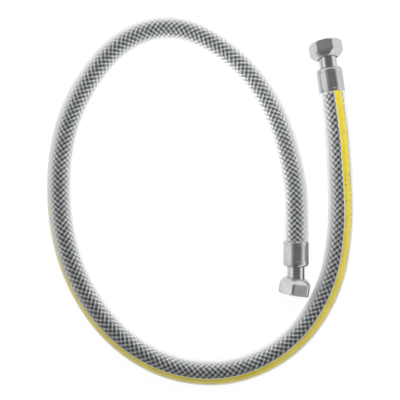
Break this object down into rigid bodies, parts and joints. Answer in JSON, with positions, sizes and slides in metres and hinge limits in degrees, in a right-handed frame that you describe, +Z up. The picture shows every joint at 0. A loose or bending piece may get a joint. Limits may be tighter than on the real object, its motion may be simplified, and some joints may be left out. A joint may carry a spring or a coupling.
{
  "type": "braided supply line",
  "caption": "Braided flexible gas supply line: rubber liner, steel wire braid and clear sheath with a yellow stripe, crimped at both ends to stems with loose swivel nuts.",
  "frame": {"origin": "on the surface the line lies on, midway between the two end fittings (centre of their footprint)", "axes": "+Z up from the surface, +Y towards fitting A's mouth, so fitting B points to -Y and the loop lies to -X"},
  "size_m": [0.2507, 0.3032, 0.0273],
  "materials": {
    "liner_rubber": "matte",
    "braid_steel": "bright wire",
    "clear_pvc": "clear gloss",
    "yellow_pvc": "gloss",
    "plated_brass_stem": "bright nickel plate",
    "ferrule_steel": "satin",
    "plated_brass_nut": "satin nickel plate",
    "washer_rubber": "matte"
  },
  "bodies": {
    "hose": {"inner_liner": "liner_rubber", "wire_braid": "braid_steel", "clear_sheath": "clear_pvc", "yellow_stripe": "yellow_pvc", "hose_stem_a": "plated_brass_stem", "hose_stem_b": "plated_brass_stem", "crimp_ferrule_a": "ferrule_steel", "crimp_ferrule_b": "ferrule_steel"},
    "nut_a": {"swivel_nut_a": "plated_brass_nut", "sealing_washer_a": "washer_rubber"},
    "nut_b": {"swivel_nut_b": "plated_brass_nut", "sealing_washer_b": "washer_rubber"}
  },
  "joints": [
    {"name": "nut_a_spin", "type": "hinge", "parent": "hose", "child": "nut_a", "pos_m": [0.0133, 0.08897, 0.01475], "axis": [-0.1467, 0.9816, -0.1219], "continuous": true},
    {"name": "nut_b_spin", "type": "hinge", "parent": "hose", "child": "nut_b", "pos_m": [-0.012, -0.0893, 0.01355], "axis": [-0.1564, -0.9877, 0], "continuous": true}
  ]
}
